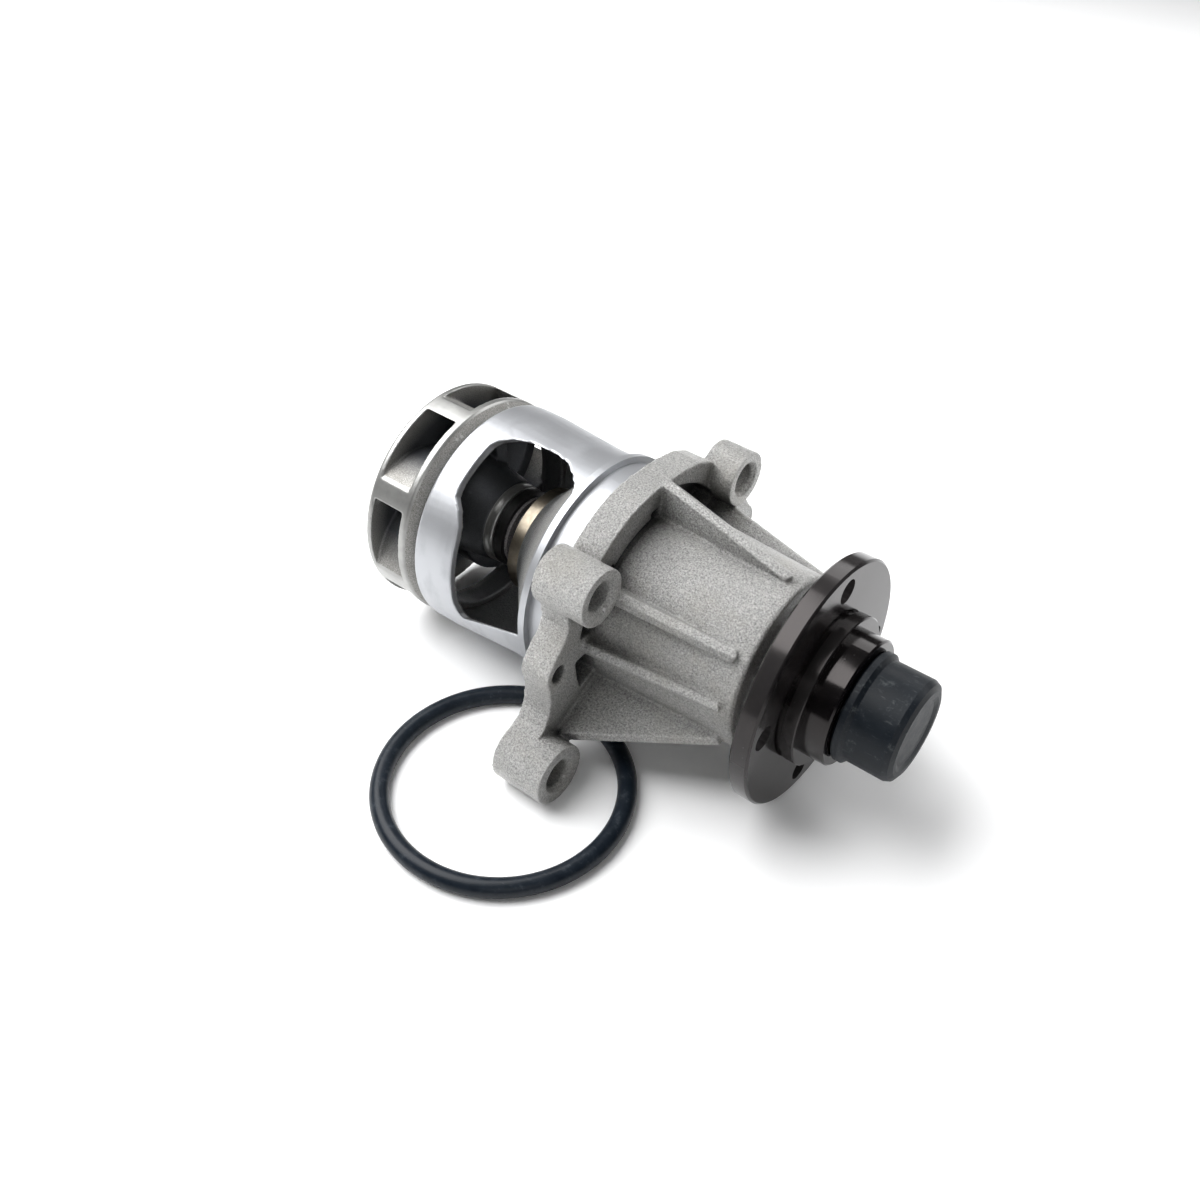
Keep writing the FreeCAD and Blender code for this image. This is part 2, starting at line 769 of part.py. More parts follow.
def impeller():
    """Closed impeller: back plate, hub cone, seven swept vanes and a front shroud with the eye."""
    plate = turned_shape([
        ("{impeller_rear}", "{shaft_neck}"),
        ("{impeller_rear}", "{impeller_radius} - 1.2"),
        ("{impeller_rear} + 1.2", "{impeller_radius}"),
        ("{back_plate_front}", "{impeller_radius}"),
        ("{back_plate_front}", "{hub_cone_rear_radius} + 3"),
        ("{back_plate_front} + 3", "{hub_cone_rear_radius}"),
        ("{hub_cone_mid}", "{hub_cone_mid_radius}"),
        ("{hub_band_rear} - 0.4", "{hub_band_radius} + 0.4"),
        ("{hub_band_rear}", "{hub_band_radius}"),
        ("{hub_front} - 0.4", "{hub_band_radius}"),
        ("{hub_front}", "{hub_band_radius} - 0.4"),
        ("{hub_front}", "{shaft_neck}"),
    ])
    shroud = turned_shape([
        ("{shroud_rear}", "{eye_radius} + 1.0"),
        ("{shroud_rear}", "{impeller_radius}"),
        ("{shroud_front} - 0.3", "{impeller_radius}"),
        ("{shroud_front}", "{impeller_radius} - 0.3"),
        ("{shroud_eye_front}", "{eye_lip_radius} + 0.6"),
        ("{shroud_eye_front}", "{eye_lip_radius}"),
        ("{eye_lip_front}", "{eye_lip_radius}"),
        ("{eye_lip_front}", "{eye_radius}"),
        ("{shroud_eye_front} - 2", "{eye_radius}"),
    ])
    envelope = turned_shape([
        ("{impeller_rear}", "0"),
        ("{impeller_rear}", "{impeller_radius}"),
        ("{shroud_front} - 0.6", "{impeller_radius}"),
        ("{shroud_front} - 0.6", "0"),
    ])
    vane = vane_blank()
    vanes = []
    for place in range(VANE_COUNT):
        one = vane.copy()
        one.rotate(Vector(), ALONG_X, 360.0 * place / VANE_COUNT)
        vanes.append(one.common(envelope))
    shaft_bore = Part.makeCylinder(sized("{shaft_neck}"), 60, Vector(sized("{impeller_rear}") - 1, 0, 0), ALONG_X)
    shape = plate.fuse([shroud] + vanes).cut(shaft_bore).removeSplitter()
    made = doc.addObject("Part::Feature", "impeller")
    made.Label = "impeller"
    made.Shape = shape.Solids[0]
    return made


# ---------------------------------------------------------------- mechanical seal

def seal_seat_cup():
    """The rubber cup that turns with the hub and holds the hard seat."""
    return turned("seal_seat_cup", [
        ("{cup_rear}", "{shaft_neck}"),
        ("{cup_rear}", "{cup_radius} - 0.4"),
        ("{cup_rear} + 0.4", "{cup_radius}"),
        ("{cup_front}", "{cup_radius}"),
        ("{cup_front}", "{cup_radius} - {cup_wall}"),
        ("{cup_rear} + {cup_wall}", "{cup_radius} - {cup_wall}"),
        ("{cup_rear} + {cup_wall}", "{shaft_neck}"),
    ])


def seal_seat_ring():
    return turned("seal_seat_ring", [
        ("{cup_rear} + {cup_wall}", "{shaft_neck} + 0.4"),
        ("{cup_rear} + {cup_wall}", "{cup_radius} - {cup_wall}"),
        ("{seat_front}", "{cup_radius} - {cup_wall}"),
        ("{seat_front}", "{shaft_neck} + 0.4"),
    ])


def seal_carbon_ring():
    """The stationary sealing face: a narrow nose on a wider body."""
    return turned("seal_carbon_ring", [
        ("{carbon_rear}", "{carbon_bore}"),
        ("{carbon_rear}", "{carbon_nose_radius} - 0.8"),
        ("{carbon_rear} + 0.8", "{carbon_nose_radius}"),
        ("{carbon_step}", "{carbon_nose_radius}"),
        ("{carbon_step}", "{carbon_radius}"),
        ("{carbon_front}", "{carbon_radius}"),
        ("{carbon_front}", "{carbon_bore}"),
    ])


def seal_carbon_band():
    """The thin steel band shrunk round the carbon nose."""
    return turned("seal_carbon_band", [
        ("{carbon_rear} + 1.2", "{carbon_nose_radius}"),
        ("{carbon_rear} + 1.2", "{carbon_nose_radius} + {band_wall}"),
        ("{carbon_step}", "{carbon_nose_radius} + {band_wall}"),
        ("{carbon_step}", "{carbon_nose_radius}"),
    ])


def seal_case():
    """The pressed brass cup in the bulkhead bore, with a lip over the boss."""
    return turned("seal_case", [
        ("{case_rear}", "{case_lip_radius} - {case_wall}"),
        ("{case_rear}", "{case_lip_radius}"),
        ("{case_lip_front}", "{case_lip_radius}"),
        ("{case_lip_front}", "{seal_bore}"),
        ("{case_front}", "{seal_bore}"),
        ("{case_front}", "{shaft_passage}"),
        ("{case_front} - {case_wall}", "{shaft_passage}"),
        ("{case_front} - {case_wall}", "{seal_bore} - {case_wall}"),
        ("{case_lip_front} - {case_wall}", "{seal_bore} - {case_wall}"),
        ("{case_lip_front} - {case_wall}", "{case_lip_radius} - {case_wall}"),
    ])


def seal_bellows():
    """The folded rubber sleeve between the carbon and the floor of the case."""
    start = "{carbon_front}"
    floor = "{case_front} - {case_wall}"
    span = "(%s - (%s))" % (floor, start)
    outside = [(start, "{bellows_radius}")]
    inside = [(start, "{bellows_radius} - {bellows_wall}")]
    folds = 4
    for fold in range(1, folds):
        place = "%s + %s * %d / %d" % (start, span, fold, folds)
        dip = "{bellows_fold}" if fold % 2 else "0"
        outside.append((place, "{bellows_radius} - %s" % dip))
        inside.append((place, "{bellows_radius} - {bellows_wall} - %s * 0.8" % dip))
    outside.append((floor, "{bellows_radius}"))
    inside.append((floor, "{bellows_radius} - {bellows_wall}"))
    return turned("seal_bellows", outside + inside[::-1])


def seal_spring():
    """The coil spring that keeps the carbon on its seat."""
    helix = doc.addObject("Part::Helix", "spring_path")
    helix.setExpression("Pitch", bound("{spring_pitch}"))
    helix.setExpression("Height", bound("{spring_length}"))
    helix.setExpression("Radius", bound("{spring_radius}"))
    wire = doc.addObject("Part::Circle", "spring_section")
    wire.setExpression("Radius", bound("{spring_wire}"))
    wire.Placement = Placement(Vector(sized("{spring_radius}"), 0, 0), Rotation(ALONG_X, 90))
    sweep = doc.addObject("Part::Sweep", "seal_spring")
    sweep.Label = "seal_spring"
    sweep.Sections = [wire]
    sweep.Spine = (helix, ["Edge1"])
    sweep.Solid = True
    sweep.Frenet = True
    start = sized("{carbon_front} + {spring_wire} + 0.6")
    sweep.Placement = Placement(Vector(start, 0, 0), Rotation(Vector(0, 1, 0), 90))
    doc.recompute()
    return sweep


# ---------------------------------------------------------------- remaining pieces

def slinger_ring():
    """The thrower that keeps seal drips away from the bearing."""
    return turned("slinger_ring", [
        ("{slinger_rear}", "{shaft_neck}"),
        ("{slinger_rear}", "{slinger_radius}"),
        ("{slinger_rear} + 1.4", "{slinger_radius} - 0.3"),
        ("{slinger_rear} + 1.6", "{shaft_neck} + 1.6"),
        ("{slinger_front}", "{shaft_neck} + 1.6"),
        ("{slinger_front}", "{shaft_neck}"),
    ])


def flange_o_ring():
    """The block seal ring, lying flat on the bench."""
    ring = doc.addObject("Part::Torus", "flange_o_ring")
    ring.Label = "flange_o_ring"
    ring.setExpression("Radius1", bound("{ring_radius}"))
    ring.setExpression("Radius2", bound("{ring_section}"))
    ring.setExpression("Placement.Base.x", bound("{ring_x}"))
    ring.setExpression("Placement.Base.y", bound("{ring_y}"))
    ring.setExpression("Placement.Base.z", bound("{floor} + {ring_section}"))
    return ring


def build():
    parts = [housing(), bearing_outer_race(), pump_shaft()]
    for row in ROWS:
        parts += [ball_row(row), ball_cage(row), bearing_shield(row)]
    parts += [drive_flange(), thread_protector_cap(), impeller()]
    parts += [seal_seat_cup(), seal_seat_ring(), seal_carbon_ring(), seal_carbon_band()]
    parts += [seal_case(), seal_bellows(), seal_spring(), slinger_ring(), flange_o_ring()]
    return parts


def check(parts):
    """Stop on any failed object, and on any sub-part that is not a valid solid."""
    for item in doc.Objects:
        if {"Invalid", "Error"} & set(item.State):
            raise RuntimeError("%s failed: %s" % (item.Name, item.State))
    for part in parts:
        shape = part.Shape
        if shape.isNull() or not shape.isValid() or not shape.Solids:
            raise RuntimeError("%s has no valid solid" % part.Label)
        box = shape.BoundBox
        print("%-22s %d solid(s) %9.1f mm3  X %.1f..%.1f Y %.1f..%.1f Z %.1f..%.1f" % (
            part.Label, len(shape.Solids), shape.Volume,
            box.XMin, box.XMax, box.YMin, box.YMax, box.ZMin, box.ZMax))


pieces = build()
doc.recompute()
check(pieces)
os.makedirs("parts", exist_ok=True)
for piece in pieces:
    piece.Shape.exportStep("parts/%s.step" % piece.Label)
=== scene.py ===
"""Looks for the engine water pump: procedural metals and rubbers, cast surfaces rebuilt with soft edges.

Metres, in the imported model's frame: the shaft lies along X, +X towards the drive flange, +Z up.
"""
import json

import bmesh
import bpy
from mathutils import Matrix, Vector


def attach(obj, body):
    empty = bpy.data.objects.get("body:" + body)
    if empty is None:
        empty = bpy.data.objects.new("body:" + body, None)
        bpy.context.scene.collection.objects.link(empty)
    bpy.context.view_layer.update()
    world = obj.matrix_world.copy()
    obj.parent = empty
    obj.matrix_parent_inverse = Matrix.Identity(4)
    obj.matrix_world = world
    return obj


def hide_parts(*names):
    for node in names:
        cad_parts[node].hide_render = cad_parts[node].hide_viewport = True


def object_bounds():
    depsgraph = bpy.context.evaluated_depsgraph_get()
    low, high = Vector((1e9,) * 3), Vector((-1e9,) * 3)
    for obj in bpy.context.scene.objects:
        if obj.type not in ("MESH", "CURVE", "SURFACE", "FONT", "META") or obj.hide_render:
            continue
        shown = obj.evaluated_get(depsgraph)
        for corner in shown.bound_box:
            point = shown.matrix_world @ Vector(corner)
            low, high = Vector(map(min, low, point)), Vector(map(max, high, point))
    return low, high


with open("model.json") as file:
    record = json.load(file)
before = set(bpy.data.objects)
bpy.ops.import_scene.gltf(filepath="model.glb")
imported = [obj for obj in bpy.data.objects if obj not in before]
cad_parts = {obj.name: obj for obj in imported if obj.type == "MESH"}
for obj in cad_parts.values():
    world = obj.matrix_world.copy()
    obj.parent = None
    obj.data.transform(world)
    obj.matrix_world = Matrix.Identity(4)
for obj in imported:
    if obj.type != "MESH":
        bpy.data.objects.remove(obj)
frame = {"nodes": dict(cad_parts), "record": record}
nodes = frame["nodes"]
cad_low, cad_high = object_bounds()
MM = 0.001

# ---------------------------------------------------------------- node graph helpers


class Graph:
    """A material's node tree, with short calls for the nodes used here."""

    def __init__(self, name):
        self.material = bpy.data.materials.new(name)
        self.material.use_nodes = True
        self.tree = self.material.node_tree
        self.shader = self.tree.nodes["Principled BSDF"]
        self.place = self.node("ShaderNodeTexCoord").outputs["Object"]
        split = self.node("ShaderNodeSeparateXYZ")
        self.link(self.place, split.inputs[0])
        self.x, self.y, self.z = split.outputs

    def node(self, kind, **settings):
        made = self.tree.nodes.new(kind)
        for key, setting in settings.items():
            setattr(made, key, setting)
        return made

    def link(self, source, target):
        """Feeds a socket from another socket or from a plain number or colour."""
        if isinstance(source, bpy.types.NodeSocket):
            self.tree.links.new(source, target)
        else:
            target.default_value = source
        return target

    def math(self, operation, a, b=0.0, clamp=False):
        made = self.node("ShaderNodeMath", operation=operation, use_clamp=clamp)
        self.link(a, made.inputs[0])
        self.link(b, made.inputs[1])
        return made.outputs[0]

    def noise(self, size_mm, detail=3.0, rough=0.55, place=None, stretch=None):
        """Noise from 0 to 1 with features about size_mm across."""
        where = place or self.place
        if stretch:
            scaled = self.node("ShaderNodeMapping")
            self.link(where, scaled.inputs["Vector"])
            scaled.inputs["Scale"].default_value = stretch
            where = scaled.outputs[0]
        made = self.node("ShaderNodeTexNoise")
        self.link(where, made.inputs["Vector"])
        made.inputs["Scale"].default_value = 1.0 / (size_mm * MM)
        made.inputs["Detail"].default_value = detail
        made.inputs["Roughness"].default_value = rough
        return made.outputs[0]

    def cells(self, size_mm, randomness=1.0):
        """Distance to the nearest cell centre, from 0 at the centre."""
        made = self.node("ShaderNodeTexVoronoi")
        self.link(self.place, made.inputs["Vector"])
        made.inputs["Scale"].default_value = 1.0 / (size_mm * MM)
        made.inputs["Randomness"].default_value = randomness
        return made.outputs["Distance"]

    def ramp(self, value, low, high, start=0.0, end=1.0):
        """Maps low..high to start..end, held at both ends."""
        made = self.node("ShaderNodeMapRange", clamp=True)
        self.link(value, made.inputs[0])
        for place, number in enumerate((low, high, start, end), start=1):
            self.link(number, made.inputs[place])
        return made.outputs[0]

    def blend(self, share, a, b):
        """A colour between a and b."""
        made = self.node("ShaderNodeMix", data_type="RGBA")
        self.link(share, made.inputs[0])
        for socket, colour in ((made.inputs[6], a), (made.inputs[7], b)):
            self.link(colour if isinstance(colour, bpy.types.NodeSocket) else (*colour, 1.0), socket)
        return made.outputs[2]

    def between(self, share, a, b):
        """A number between a and b."""
        made = self.node("ShaderNodeMix", data_type="FLOAT")
        self.link(share, made.inputs[0])
        self.link(a, made.inputs[2])
        self.link(b, made.inputs[3])
        return made.outputs[0]

    def radius(self):
        """Distance from the shaft axis."""
        squares = [self.math("POWER", part, 2.0) for part in (self.y, self.z)]
        return self.math("SQRT", self.math("ADD", *squares))

    def inverse(self, share):
        return self.math("SUBTRACT", 1.0, share)

    def edge_wear(self):
        """1 on convex edges, 0 on flats."""
        return self.ramp(self.node("ShaderNodeNewGeometry").outputs["Pointiness"], 0.52, 0.60)

    def openness(self, reach_mm):
        """1 in the open, falling to 0 deep in a pocket, hole or crevice of the same piece."""
        made = self.node("ShaderNodeAmbientOcclusion", samples=8, only_local=True)
        made.inputs["Distance"].default_value = reach_mm * MM
        return made.outputs["AO"]

    def bumps(self, *heights):
        """Chains (height socket, depth in mm, strength) into the shader's normal."""
        normal = None
        for height, depth_mm, strength in heights:
            made = self.node("ShaderNodeBump")
            self.link(height, made.inputs["Height"])
            made.inputs["Distance"].default_value = depth_mm * MM
            self.link(strength, made.inputs["Strength"])
            if normal:
                self.link(normal, made.inputs["Normal"])
            normal = made.outputs[0]
        self.link(normal, self.shader.inputs["Normal"])

    def surface(self, colour, metallic, roughness):
        for name, setting in (("Base Color", colour), ("Metallic", metallic), ("Roughness", roughness)):
            self.link(setting, self.shader.inputs[name])


# ---------------------------------------------------------------- materials

# where the turned surfaces of the housing are, where the inside of the cage is darkened with painted shade,
# and how far and how dark the painted shade in pockets and crevices reaches
LAND_END_X = -0.2 * MM
LAND_RADIUS = 31.9 * MM
CAGE_INSIDE_RADIUS = 31.6 * MM
BULKHEAD_X = -9.5 * MM
CAGE_DARK_X = -22.0 * MM
CAGE_LIGHT_X = -13.0 * MM
# reach and tone of the painted shade in pockets and crevices
SHADE_REACH_MM = 8.0
CREVICE_SHADE_TONE = (0.018, 0.019, 0.021)

# turned rim, hub band, and the impeller's inside, which is darkened with painted shade
RIM_RADIUS = 33.25 * MM
BAND_X = -42.6 * MM
BAND_RADIUS = 13.0 * MM
INSIDE_RADII = (27.0 * MM, 32.6 * MM)
BACK_PLATE_XS = (-67.6 * MM, -66.8 * MM)


def cast_aluminium():
    """Sand-cast skin everywhere, with the turned cage, collar and land picked out by position, and painted
    shade inside the cage and in crevices.
    """
    g = Graph("cast_aluminium")
    radius = g.radius()
    outer = g.math("GREATER_THAN", radius, LAND_RADIUS)
    behind = g.math("LESS_THAN", g.x, LAND_END_X)
    turned = g.math("MULTIPLY", outer, behind)
    # painted shade: inside the cage, behind the bulkhead, the colour darkens towards the deep end of the cage
    # to stand in for the shade there
    inside = g.math("MULTIPLY", g.ramp(radius, CAGE_INSIDE_RADIUS, LAND_RADIUS, 1.0, 0.0),
                    g.ramp(g.x, CAGE_DARK_X, CAGE_LIGHT_X, 1.0, 0.25))
    inside = g.math("MULTIPLY", inside, g.math("LESS_THAN", g.x, BULKHEAD_X))
    grain = g.noise(0.48, 4.0, 0.75)
    crystals = g.cells(0.8)
    blotch = g.noise(9.0, 3.0, 0.6)
    stain = g.ramp(g.noise(20.0, 4.0, 0.65), 0.50, 0.74)
    cast_tone = g.blend(g.ramp(grain, 0.32, 0.68), (0.19, 0.189, 0.184), (0.66, 0.655, 0.64))
    cast_tone = g.blend(g.math("MULTIPLY", stain, 0.35), cast_tone, (0.40, 0.375, 0.32))
    cast_tone = g.blend(g.math("MULTIPLY", g.edge_wear(), 0.5), cast_tone, (0.82, 0.82, 0.81))
    cast_tone = g.blend(g.math("MULTIPLY", inside, 0.85), cast_tone, (0.075, 0.08, 0.085))
    pits = g.ramp(g.cells(3.4), 0.0, 0.07, 1.0, 0.0)
    pits = g.math("MULTIPLY", pits, g.ramp(g.noise(7.0), 0.52, 0.6))
    dull = g.ramp(g.noise(6.0, 5.0, 0.6, stretch=(1.0, 0.5, 0.5)), 0.50, 0.75)
    turned_tone = g.blend(g.math("MULTIPLY", dull, 0.45), (0.45, 0.46, 0.48), (0.32, 0.33, 0.345))
    turned_tone = g.blend(g.math("MULTIPLY", pits, 0.7), turned_tone, (0.22, 0.22, 0.22))
    colour = g.blend(turned, cast_tone, turned_tone)
    # painted shade: the colour darkens to near black deep in pockets, holes and crevices of the housing, less
    # on the turned surfaces
    crevice = g.ramp(g.openness(SHADE_REACH_MM), 0.20, 0.85, 0.96, 0.0)
    crevice_shade_share = g.math("MULTIPLY", crevice, g.inverse(g.math("MULTIPLY", turned, 0.8)))
    roughness = g.between(turned, g.ramp(blotch, 0.3, 0.7, 0.32, 0.45), g.ramp(dull, 0.0, 1.0, 0.44, 0.54))
    g.surface(g.blend(crevice_shade_share, colour, CREVICE_SHADE_TONE), 0.85, roughness)
    rings = g.noise(0.22, 2.0, 0.5, stretch=(1.0, 0.012, 0.012))
    rough_skin = g.inverse(turned)
    g.bumps(
        (blotch, 0.5, g.math("MULTIPLY", rough_skin, 0.3)),
        (grain, 0.55, rough_skin),
        (crystals, 0.15, g.math("MULTIPLY", rough_skin, 0.6)),
        (rings, 0.02, g.math("MULTIPLY", turned, 0.3)),
        (pits, -0.15, g.math("MULTIPLY", turned, 0.6)),
    )
    return g.material


def impeller_metal():
    """Fine investment-cast skin, with a turned rim and hub band, and painted shade inside the rim."""
    g = Graph("impeller_metal")
    radius = g.radius()
    rim = g.math("GREATER_THAN", radius, RIM_RADIUS)
    band = g.math("MULTIPLY", g.math("GREATER_THAN", g.x, BAND_X), g.math("LESS_THAN", radius, BAND_RADIUS))
    turned = g.math("MAXIMUM", rim, band)
    grain = g.noise(0.3, 4.0, 0.65)
    blotch = g.noise(7.0, 4.0, 0.6)
    cast_tone = g.blend(g.ramp(grain, 0.3, 0.7), (0.12, 0.118, 0.113), (0.46, 0.452, 0.43))
    cast_tone = g.blend(g.ramp(blotch, 0.5, 0.8, 0.0, 0.5), cast_tone, (0.20, 0.188, 0.165))
    cast_tone = g.blend(g.math("MULTIPLY", g.edge_wear(), 0.5), cast_tone, (0.68, 0.675, 0.66))
    turned_tone = g.blend(g.ramp(blotch, 0.35, 0.7), (0.36, 0.36, 0.35), (0.26, 0.26, 0.253))
    # painted shade: the impeller's face inside the rim, in front of the back plate, is darkened to stand in
    # for the shadow the cage casts on it
    shadowed_inside = g.math("MULTIPLY", g.ramp(radius, *INSIDE_RADII, 1.0, 0.0), 0.88)
    shadowed_inside = g.math("MULTIPLY", shadowed_inside, g.ramp(g.x, *BACK_PLATE_XS))
    rough_skin = g.inverse(turned)
    skin = g.blend(rough_skin, turned_tone, cast_tone)
    impeller_painted_shade = g.math("MULTIPLY", shadowed_inside, g.inverse(band))
    roughness = g.between(turned, g.ramp(blotch, 0.3, 0.7, 0.46, 0.6), 0.36)
    g.surface(g.blend(impeller_painted_shade, skin, (0.05, 0.055, 0.065)), 0.75, roughness)
    rings = g.noise(0.25, 2.0, 0.5, stretch=(1.0, 0.012, 0.012))
    g.bumps((grain, 0.2, g.math("MULTIPLY", rough_skin, 0.7)), (rings, 0.03, g.math("MULTIPLY", turned, 0.4)))
    return g.material


def black_steel():
    """Turned steel with a glossy black finish: faint ring marks, a brown cast, light dust and worn edges."""
    g = Graph("black_steel")
    radius = g.radius()
    along = g.node("ShaderNodeCombineXYZ")
    g.link(radius, along.inputs[0])
    g.link(g.x, along.inputs[1])
    rings = g.noise(0.3, 3.0, 0.5, place=along.outputs[0])
    smudge = g.ramp(g.noise(14.0, 4.0, 0.6), 0.4, 0.75)
    dust = g.math("MULTIPLY", g.ramp(g.cells(1.7), 0.0, 0.10, 1.0, 0.0), g.ramp(g.noise(6.0), 0.5, 0.62))
    tone = g.blend(smudge, (0.004, 0.0035, 0.004), (0.012, 0.010, 0.010))
    tone = g.blend(g.math("MULTIPLY", dust, 0.4), tone, (0.30, 0.30, 0.31))
    tone = g.blend(g.math("MULTIPLY", g.edge_wear(), 0.2), tone, (0.12, 0.115, 0.115))
    g.surface(tone, 0.0, g.ramp(smudge, 0.0, 1.0, 0.10, 0.20))
    g.shader.inputs["Specular IOR Level"].default_value = 0.28
    g.shader.inputs["Specular Tint"].default_value = (1.0, 0.93, 0.92, 1.0)
    g.bumps((rings, 0.02, 0.25), (dust, 0.03, 0.2))
    return g.material


def rubber(name, low, high, roughness, dust_tone=None, dust_share=0.0):
    """Moulded rubber: fine skin grain, soft mottling and, if asked, rubbed-in dust and scuffs."""
    g = Graph(name)
    grain = g.noise(0.35, 3.0, 0.6)
    mottle = g.noise(5.0, 4.0, 0.65)
    tone = g.blend(g.ramp(mottle, 0.3, 0.7), low, high)
    rough_low, rough_high = roughness
    heights = [(grain, 0.04, 0.35), (mottle, 0.15, 0.2)]
    if dust_tone:
        patches = g.ramp(g.noise(5.0, 6.0, 0.78), 0.56, 0.68)
        scratches = g.ramp(g.noise(1.1, 4.0, 0.7, stretch=(0.25, 1.0, 1.6)), 0.60, 0.74)
        dust = g.math("MULTIPLY", g.math("MAXIMUM", patches, g.math("MULTIPLY", scratches, 0.7)), dust_share)
        tone = g.blend(dust, tone, dust_tone)
        heights.append((scratches, 0.05, 0.3))
    g.surface(tone, 0.0, g.ramp(mottle, 0.3, 0.7, rough_low, rough_high))
    g.shader.inputs["Specular IOR Level"].default_value = 0.2
    g.bumps(*heights)
    return g.material


def bright_metal(name, low, high, roughness):
    """Turned or pressed metal with fine rings and soft tarnish."""
    g = Graph(name)
    tarnish = g.noise(3.0, 4.0, 0.6)
    rings = g.noise(0.2, 2.0, 0.5, stretch=(1.0, 0.02, 0.02))
    g.surface(g.blend(g.ramp(tarnish, 0.35, 0.7), low, high), 1.0,
              g.ramp(tarnish, 0.3, 0.7, roughness, roughness + 0.12))
    g.bumps((rings, 0.02, 0.3))
    return g.material


def lapped(name, low, high, roughness):
    """A lapped non-metal face, such as carbon or ceramic."""
    g = Graph(name)
    speckle = g.noise(0.5, 4.0, 0.7)
    tone = g.blend(g.ramp(speckle, 0.35, 0.65), low, high)
    g.surface(tone, 0.0, g.ramp(speckle, 0.3, 0.7, roughness, roughness + 0.1))
    g.bumps((speckle, 0.01, 0.2))
    return g.material


FINISHES = {
    "cast_aluminium": cast_aluminium(),
    "impeller_metal": impeller_metal(),
    "black_steel": black_steel(),
    "cap_rubber": rubber("cap_rubber", (0.003, 0.0055, 0.009), (0.008, 0.0115, 0.016), (0.40, 0.55),
                         dust_tone=(0.15, 0.165, 0.165), dust_share=0.35),
    "o_ring_rubber": rubber("o_ring_rubber", (0.004, 0.007, 0.012), (0.010, 0.015, 0.022), (0.28, 0.42),
                            dust_tone=(0.13, 0.15, 0.17), dust_share=0.2),
    "seal_rubber": rubber("seal_rubber", (0.006, 0.006, 0.006), (0.018, 0.018, 0.018), (0.35, 0.5)),
    "bearing_steel": bright_metal("bearing_steel", (0.62, 0.62, 0.63), (0.50, 0.50, 0.51), 0.16),
    "stainless": bright_metal("stainless", (0.80, 0.80, 0.81), (0.66, 0.66, 0.67), 0.14),
    "seal_brass": bright_metal("seal_brass", (0.33, 0.29, 0.23), (0.20, 0.17, 0.13), 0.30),
    "ball_cage_plastic": lapped("ball_cage_plastic", (0.55, 0.47, 0.32), (0.64, 0.56, 0.41), 0.45),
    "seat_ceramic": lapped("seat_ceramic", (0.14, 0.13, 0.13), (0.24, 0.23, 0.23), 0.2),
    "carbon": lapped("carbon", (0.03, 0.03, 0.03), (0.07, 0.07, 0.07), 0.3),
}


def dress(piece, finish):
    piece.data.materials.clear()
    piece.data.materials.append(FINISHES[finish])


for part in frame["record"]["subparts"]:
    dress(nodes[part["node"]], part["material_slot"])

# ---------------------------------------------------------------- soft-edged castings

# the crisp turned collar and land lie between these two planes
SEAM_REAR = -10.9 * MM
SEAM_FRONT = -0.45 * MM


def finished_mesh(piece):
    """Applies the piece's modifiers for good."""
    graph = bpy.context.evaluated_depsgraph_get()
    mesh = bpy.data.meshes.new_from_object(piece.evaluated_get(graph))
    piece.modifiers.clear()
    piece.data = mesh


def copied(node, name):
    piece = bpy.data.objects.new(name, nodes[node].data.copy())
    bpy.context.scene.collection.objects.link(piece)
    return piece


def softened(node, name, voxel_mm, rounds, keep_share):
    """A closed copy of a node with evenly sized faces and softly rounded edges, as a casting has."""
    piece = copied(node, name)
    remesh = piece.modifiers.new("even", "REMESH")
    remesh.mode = "VOXEL"
    remesh.voxel_size = voxel_mm * MM
    smooth = piece.modifiers.new("soft", "SMOOTH")
    smooth.factor = 0.5
    smooth.iterations = rounds
    thin = piece.modifiers.new("thin", "DECIMATE")
    thin.ratio = keep_share
    finished_mesh(piece)
    return piece


def sliced(piece, x, drop_front):
    """Cuts the piece at a plane across the shaft and drops one side."""
    shape = bmesh.new()
    shape.from_mesh(piece.data)
    geometry = shape.verts[:] + shape.edges[:] + shape.faces[:]
    bmesh.ops.bisect_plane(shape, geom=geometry, plane_co=(x, 0, 0), plane_no=(1, 0, 0),
                           clear_outer=drop_front, clear_inner=not drop_front)
    shape.to_mesh(piece.data)
    shape.free()


def settle(piece, body, slot, *replaced):
    """Smooth shading, finish, body and record slot for a piece that stands in for the replaced nodes."""
    for face in piece.data.polygons:
        face.use_smooth = True
    dress(piece, slot)
    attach(piece, body)
    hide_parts(*replaced)


def housing_look():
    """Soft cast skin in front of the plate face and behind the collar; the collar and land stay crisp."""
    snout = softened("housing", "housing_snout", voxel_mm=0.38, rounds=2, keep_share=0.36)
    cage = snout.copy()
    cage.data = snout.data.copy()
    cage.name = "housing_cage"
    bpy.context.scene.collection.objects.link(cage)
    sliced(snout, SEAM_FRONT, drop_front=False)
    sliced(cage, SEAM_REAR, drop_front=True)
    collar = copied("housing", "housing_collar")
    sliced(collar, SEAM_FRONT, drop_front=True)
    sliced(collar, SEAM_REAR, drop_front=False)
    for piece in (snout, cage):
        settle(piece, "housing_body", "cast_aluminium", "housing")
    dress(collar, "cast_aluminium")
    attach(collar, "housing_body")


housing_look()
impeller = softened("impeller", "impeller_cast", voxel_mm=0.34, rounds=2, keep_share=0.45)
settle(impeller, "rotor", "impeller_metal", "impeller")

# ---------------------------------------------------------------- stage, light and camera

FLOOR_HALF = 4.0


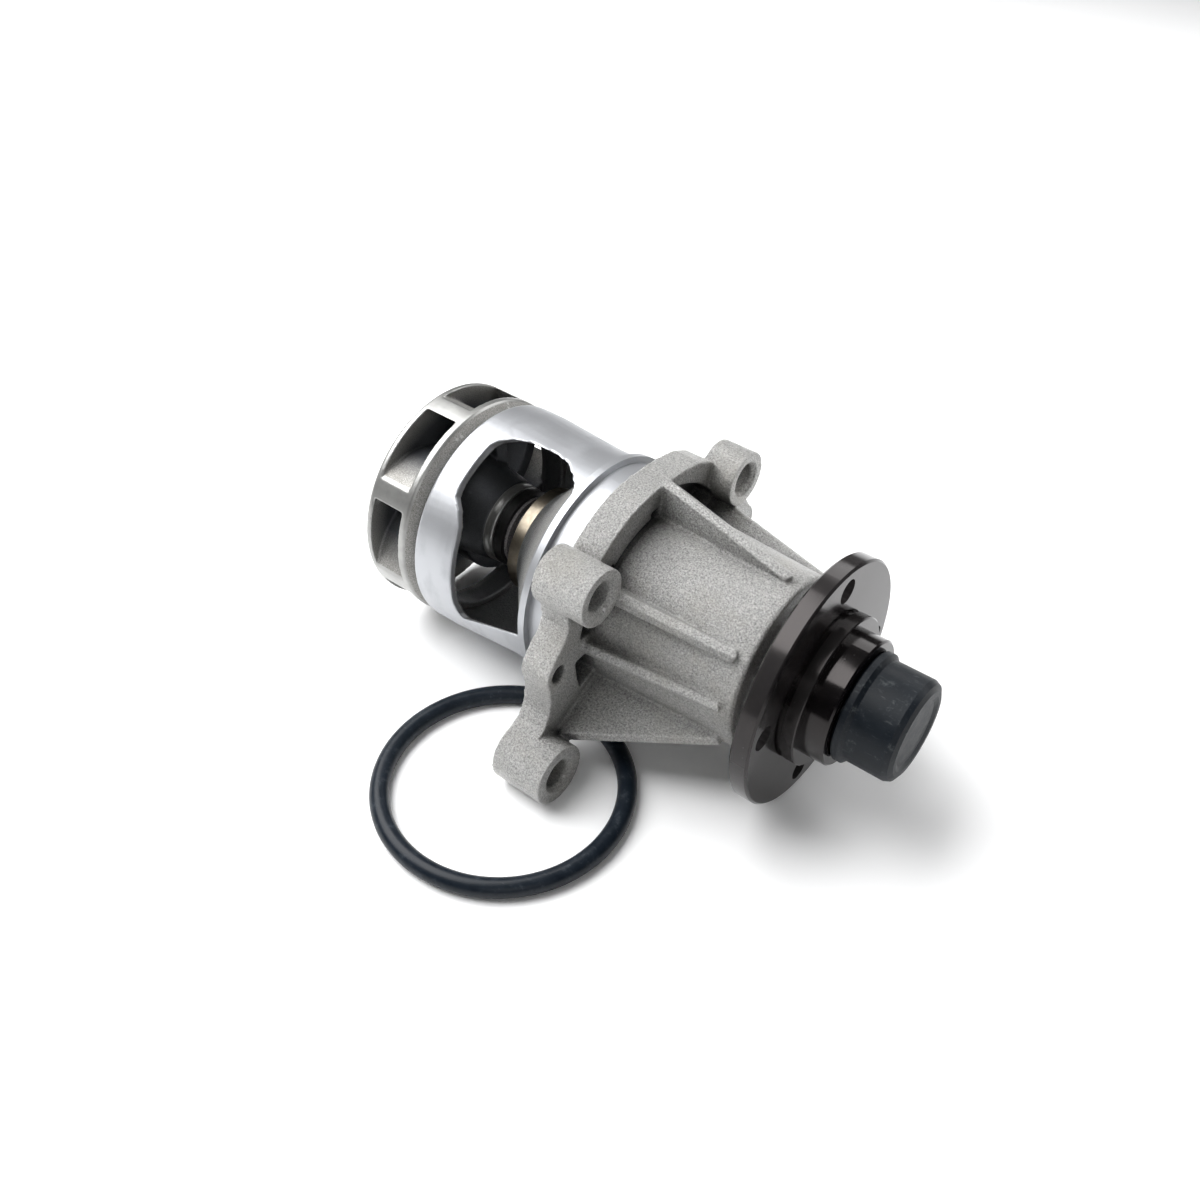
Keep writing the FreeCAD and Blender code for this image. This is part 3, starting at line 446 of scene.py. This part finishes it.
def floor():
    """A plain pale sheet under the lowest point of the part."""
    mesh = bpy.data.meshes.new("floor")
    corners = [(x * FLOOR_HALF, y * FLOOR_HALF, 0) for x, y in ((-1, -1), (1, -1), (1, 1), (-1, 1))]
    mesh.from_pydata(corners, [], [(0, 1, 2, 3)])
    sheet = bpy.data.objects.new("floor", mesh)
    sheet.location.z = cad_low.z
    bpy.context.scene.collection.objects.link(sheet)
    g = Graph("floor_paper")
    g.surface(g.blend(g.noise(60.0), (0.955, 0.96, 0.965), (0.975, 0.977, 0.98)), 0.0, 0.7)
    mesh.materials.append(g.material)


def softbox(name, place, size, power):
    """A rectangular lamp that faces the origin of the part; metres and watts."""
    lamp = bpy.data.lights.new(name, "AREA")
    lamp.shape = "RECTANGLE"
    lamp.size, lamp.size_y = size
    lamp.energy = power
    holder = bpy.data.objects.new(name, lamp)
    holder.location = place
    holder.rotation_euler = (-Vector(place)).to_track_quat("-Z", "Y").to_euler()
    bpy.context.scene.collection.objects.link(holder)


def camera():
    """Seen from the drive end, from above and to the left of the shaft."""
    place = Vector((149.907, -208.296, 221.954)) * MM
    forward = Vector((-0.452590, 0.592994, -0.665973)).normalized()
    up = Vector((-0.423957, 0.513939, 0.745739))
    right = forward.cross(up).normalized()
    up = right.cross(forward)
    data = bpy.data.cameras.new("camera")
    data.sensor_width = 36.0
    data.lens = 36.48
    data.clip_start = 0.01
    holder = bpy.data.objects.new("camera", data)
    holder.matrix_world = Matrix((
        (right.x, up.x, -forward.x, place.x),
        (right.y, up.y, -forward.y, place.y),
        (right.z, up.z, -forward.z, place.z),
        (0, 0, 0, 1),
    ))
    bpy.context.scene.collection.objects.link(holder)
    bpy.context.scene.camera = holder


def sky(*bands):
    """Light from the studio's walls and ceiling: the sum of two bands (low z, high z, strength at each)."""
    world = bpy.data.worlds.new("studio")
    world.use_nodes = True
    tree = world.node_tree
    direction = tree.nodes.new("ShaderNodeTexCoord")
    split = tree.nodes.new("ShaderNodeSeparateXYZ")
    total = tree.nodes.new("ShaderNodeMath")
    total.operation = "ADD"
    tree.links.new(direction.outputs["Generated"], split.inputs[0])
    for band, numbers in enumerate(bands):
        height = tree.nodes.new("ShaderNodeMapRange")
        tree.links.new(split.outputs["Z"], height.inputs[0])
        for place, number in enumerate(numbers, start=1):
            height.inputs[place].default_value = number
        tree.links.new(height.outputs[0], total.inputs[band])
    tree.links.new(total.outputs[0], tree.nodes["Background"].inputs["Strength"])
    bpy.context.scene.world = world


floor()
camera()
sky((0.40, 0.95, 0.16, 5.6), (0.0, 0.30, 0.7, 0.0))
softbox("key", (-0.40, -0.10, 0.60), (0.80, 0.70), 12.5)
softbox("fill", (0.50, -0.55, 0.40), (0.5, 0.4), 1.0)
softbox("rim", (0.15, 0.60, 0.45), (0.8, 0.4), 3.2)
bpy.context.scene.view_settings.view_transform = "Standard"
